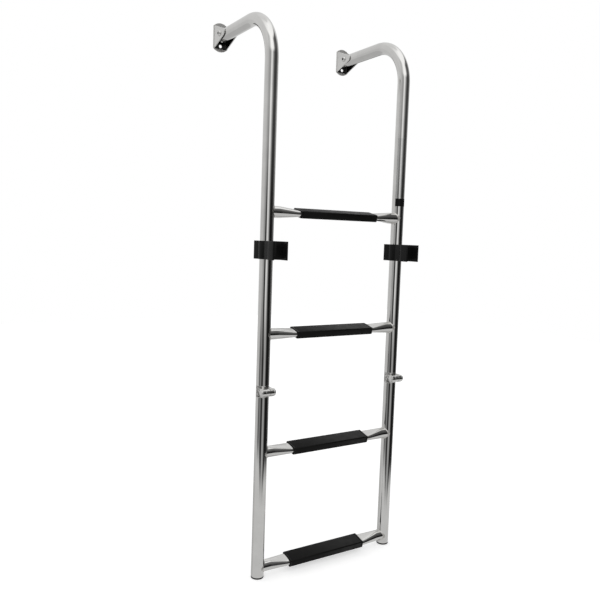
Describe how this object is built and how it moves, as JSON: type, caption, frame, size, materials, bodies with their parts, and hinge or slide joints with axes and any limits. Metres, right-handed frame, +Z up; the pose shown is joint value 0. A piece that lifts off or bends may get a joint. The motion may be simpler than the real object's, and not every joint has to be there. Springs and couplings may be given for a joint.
{
  "type": "folding boarding ladder",
  "caption": "Folding boat boarding ladder: bent stainless tube rails on pivoting deck brackets, flat treads on round rungs, and a lower half that folds up into plastic clips.",
  "frame": {"origin": "the back face of the left bracket's plate, midway between its two screw holes, level with the pivot bolts", "axes": "+X along the rungs from the left rail to the right rail seen from outboard, +Y toward the boat, +Z up"},
  "size_m": [0.3502, 0.2797, 1.0975],
  "materials": {
    "tube": "polished stainless tube",
    "bracket": "polished stainless sheet",
    "casting": "cast and tumbled stainless",
    "fastener": "bright stainless",
    "black_plastic": "fine grained black"
  },
  "bodies": {
    "brackets": {"left_bracket": "bracket", "left_bracket_bolt": "fastener", "left_bracket_nut": "fastener", "right_bracket": "bracket", "right_bracket_bolt": "fastener", "right_bracket_nut": "fastener"},
    "upper_section": {"left_upper_rail": "tube", "left_clip": "black_plastic", "left_upper_hinge": "casting", "left_fold_pin": "fastener", "left_fold_nut": "fastener", "right_upper_rail": "tube", "right_clip": "black_plastic", "right_upper_hinge": "casting", "right_fold_pin": "fastener", "right_fold_nut": "fastener", "rung_1": "tube", "tread_1": "black_plastic", "rung_2": "tube", "tread_2": "black_plastic"},
    "lower_section": {"left_lower_hinge": "casting", "left_lower_rail": "tube", "left_foot_cap": "black_plastic", "right_lower_hinge": "casting", "right_lower_rail": "tube", "right_foot_cap": "black_plastic", "rung_3": "tube", "tread_3": "black_plastic", "rung_4": "tube", "tread_4": "black_plastic"}
  },
  "joints": [
    {"name": "bracket_pivot", "type": "hinge", "parent": "brackets", "child": "upper_section", "pos_m": [0, -0.029, 0], "axis": [-1, 0, 0], "range_deg": [0, 105]},
    {"name": "fold_hinge", "type": "hinge", "parent": "upper_section", "child": "lower_section", "pos_m": [0, -0.244, -0.699], "axis": [-1, 0, 0], "range_deg": [0, 180]}
  ]
}
